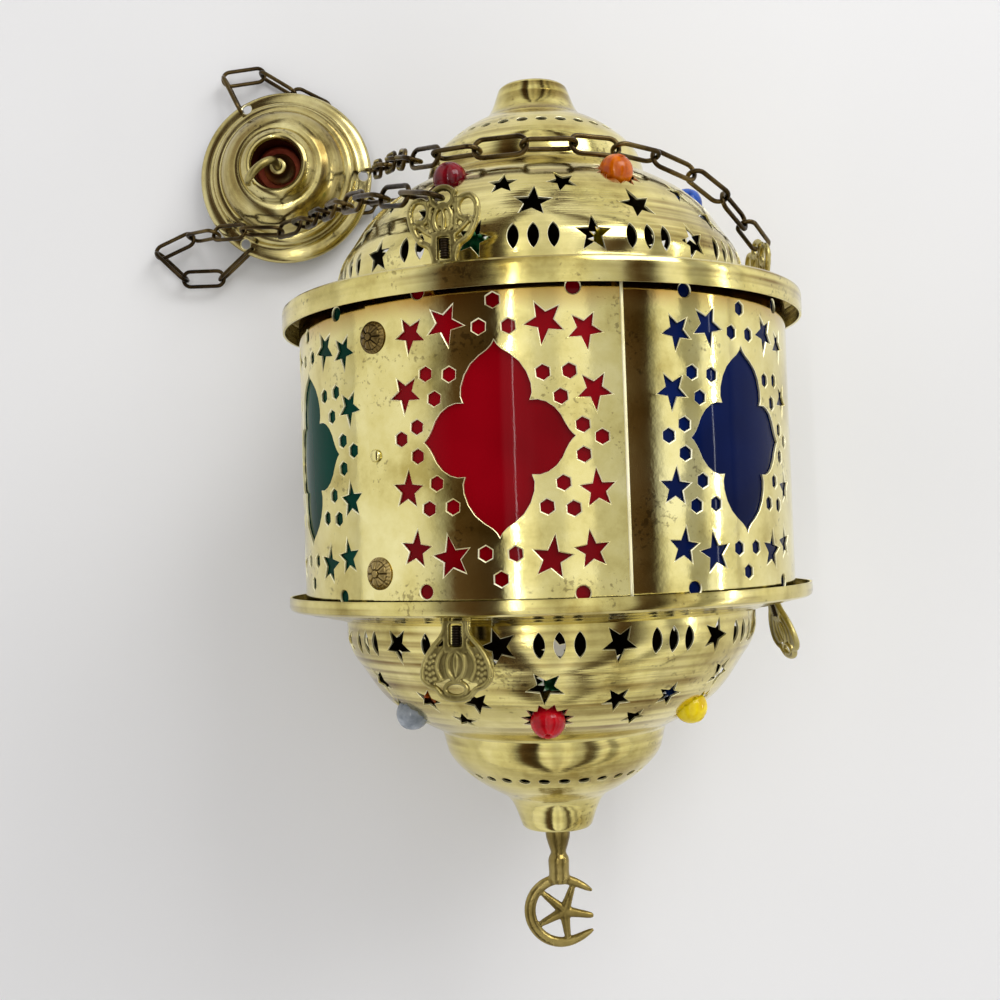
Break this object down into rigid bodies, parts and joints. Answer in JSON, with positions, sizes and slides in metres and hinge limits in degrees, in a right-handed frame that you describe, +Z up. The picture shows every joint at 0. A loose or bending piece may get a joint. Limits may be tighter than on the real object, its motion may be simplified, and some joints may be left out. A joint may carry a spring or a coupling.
{
  "type": "hanging lantern",
  "caption": "Round hanging lantern of pierced sheet brass with coloured window sheets, glass beads, crescent finial, chains and a ceiling cup, lying on its side.",
  "frame": {"origin": "middle of the lower rim's flat, on which the lying lantern rests", "axes": "+Y along the lantern's axis towards its neck, +Z up from the surface that it lies on, +X to the right of the picture"},
  "size_m": [0.2803, 0.3849, 0.1989],
  "materials": {
    "brass": "polished spun and pierced sheet brass, pale greenish gold with light tarnish",
    "cast_brass": "satin cast brass, darker in the hollows",
    "dark_bronze": "dark antiqued bronze wire and castings",
    "red_glass": "glossy deep red",
    "blue_glass": "glossy navy blue",
    "green_glass": "glossy dark green",
    "orange_glass": "clear orange",
    "yellow_glass": "clear yellow",
    "grey_glass": "silver grey"
  },
  "bodies": {
    "lantern": {"top_dome": "brass", "bottom_bowl": "brass", "body_wrap": "brass", "closing_panel": "brass", "window_pane_1": "red_glass", "window_pane_2": "blue_glass", "window_pane_3": "green_glass", "window_pane_4": "red_glass", "window_pane_5": "blue_glass", "window_pane_6": "green_glass", "rosette_stud_1": "dark_bronze", "rosette_stud_2": "dark_bronze", "seam_rivet": "brass", "upper_ear_1": "cast_brass", "upper_ear_2": "cast_brass", "upper_ear_3": "cast_brass", "lower_ear_1": "cast_brass", "lower_ear_2": "cast_brass", "lower_ear_3": "cast_brass", "upper_bead_1": "red_glass", "upper_bead_2": "orange_glass", "upper_bead_3": "blue_glass", "upper_bead_4": "yellow_glass", "upper_bead_5": "green_glass", "upper_bead_6": "grey_glass", "lower_bead_1": "red_glass", "lower_bead_2": "yellow_glass", "lower_bead_3": "blue_glass", "lower_bead_4": "green_glass", "lower_bead_5": "orange_glass", "lower_bead_6": "grey_glass", "crescent_finial": "cast_brass", "finial_nut": "brass", "candle_cup": "brass"},
    "chain_1_a": {"chain_1_a": "dark_bronze"},
    "chain_1_b": {"chain_1_b": "dark_bronze"},
    "chain_1_c": {"chain_1_c": "dark_bronze"},
    "chain_1_d": {"chain_1_d": "dark_bronze"},
    "chain_2_a": {"chain_2_a": "dark_bronze"},
    "chain_2_b": {"chain_2_b": "dark_bronze"},
    "chain_2_c": {"chain_2_c": "dark_bronze"},
    "chain_2_d": {"chain_2_d": "dark_bronze"},
    "ceiling_cup": {"ceiling_cup": "brass", "hook_nut": "brass"},
    "hook": {"ceiling_hook": "cast_brass"},
    "chain_3_c": {"chain_3_c": "dark_bronze"},
    "chain_3_b": {"chain_3_b": "dark_bronze"},
    "chain_3_a": {"chain_3_a": "dark_bronze"}
  },
  "joints": [
    {"name": "chain_1_swing", "type": "hinge", "parent": "lantern", "child": "chain_1_a", "pos_m": [0.08886, 0.13579, 0.08743], "axis": [-0.0755, 0.9286, -0.3633], "range_deg": [0, 60]},
    {"name": "chain_1_bend_b", "type": "hinge", "parent": "chain_1_a", "child": "chain_1_b", "pos_m": [0.04308, 0.15967, 0.13401], "axis": [0.0438, 0.9142, -0.403], "range_deg": [0, 60]},
    {"name": "chain_1_bend_c", "type": "hinge", "parent": "chain_1_b", "child": "chain_1_c", "pos_m": [-0.03625, 0.1616, 0.13901], "axis": [0.5183, -0.1656, -0.839], "range_deg": [0, 45]},
    {"name": "chain_1_bend_d", "type": "hinge", "parent": "chain_1_c", "child": "chain_1_d", "pos_m": [-0.05816, 0.17926, 0.07572], "axis": [0.9558, -0.1273, -0.265], "range_deg": [0, 60]},
    {"name": "chain_2_swing", "type": "hinge", "parent": "lantern", "child": "chain_2_a", "pos_m": [-0.03415, 0.13542, 0.18237], "axis": [0.2726, 0.9568, 0.1009], "range_deg": [0, 45]},
    {"name": "chain_2_bend_b", "type": "hinge", "parent": "chain_2_a", "child": "chain_2_b", "pos_m": [-0.07229, 0.14943, 0.12349], "axis": [0.2726, 0.9611, 0.044], "range_deg": [0, 45]},
    {"name": "chain_2_bend_c", "type": "hinge", "parent": "chain_2_b", "child": "chain_2_c", "pos_m": [-0.09752, 0.16026, 0.05843], "axis": [0.3165, 0.9482, 0.0269], "range_deg": [0, 45]},
    {"name": "chain_2_bend_d", "type": "hinge", "parent": "chain_2_c", "child": "chain_2_d", "pos_m": [-0.14888, 0.16649, 0.01711], "axis": [0.2253, 0.9529, -0.2032], "range_deg": [0, 45]},
    {"name": "ceiling_cup_swing", "type": "hinge", "parent": "chain_2_d", "child": "ceiling_cup", "pos_m": [-0.13453, 0.15815, 0.01102], "axis": [-0.6214, 0.7752, 0.1135], "range_deg": [0, 45]},
    {"name": "hook_turn", "type": "hinge", "parent": "ceiling_cup", "child": "hook", "pos_m": [-0.116, 0.193, 0.0233], "axis": [0, 0, 1], "range_deg": [-180, 180]},
    {"name": "chain_3_swing", "type": "hinge", "parent": "ceiling_cup", "child": "chain_3_c", "pos_m": [-0.13692, 0.22648, 0.01102], "axis": [0.8958, 0.4435, 0.0289], "range_deg": [0, 45]},
    {"name": "chain_3_bend_b", "type": "hinge", "parent": "chain_3_c", "child": "chain_3_b", "pos_m": [-0.11259, 0.20341, 0.0048], "axis": [-0.2456, 0.9219, 0.2998], "range_deg": [0, 38]},
    {"name": "chain_3_bend_a", "type": "hinge", "parent": "chain_3_b", "child": "chain_3_a", "pos_m": [-0.0753, 0.18021, 0.0048], "axis": [-0.0681, 0.9974, 0.0227], "range_deg": [0, 75]}
  ]
}
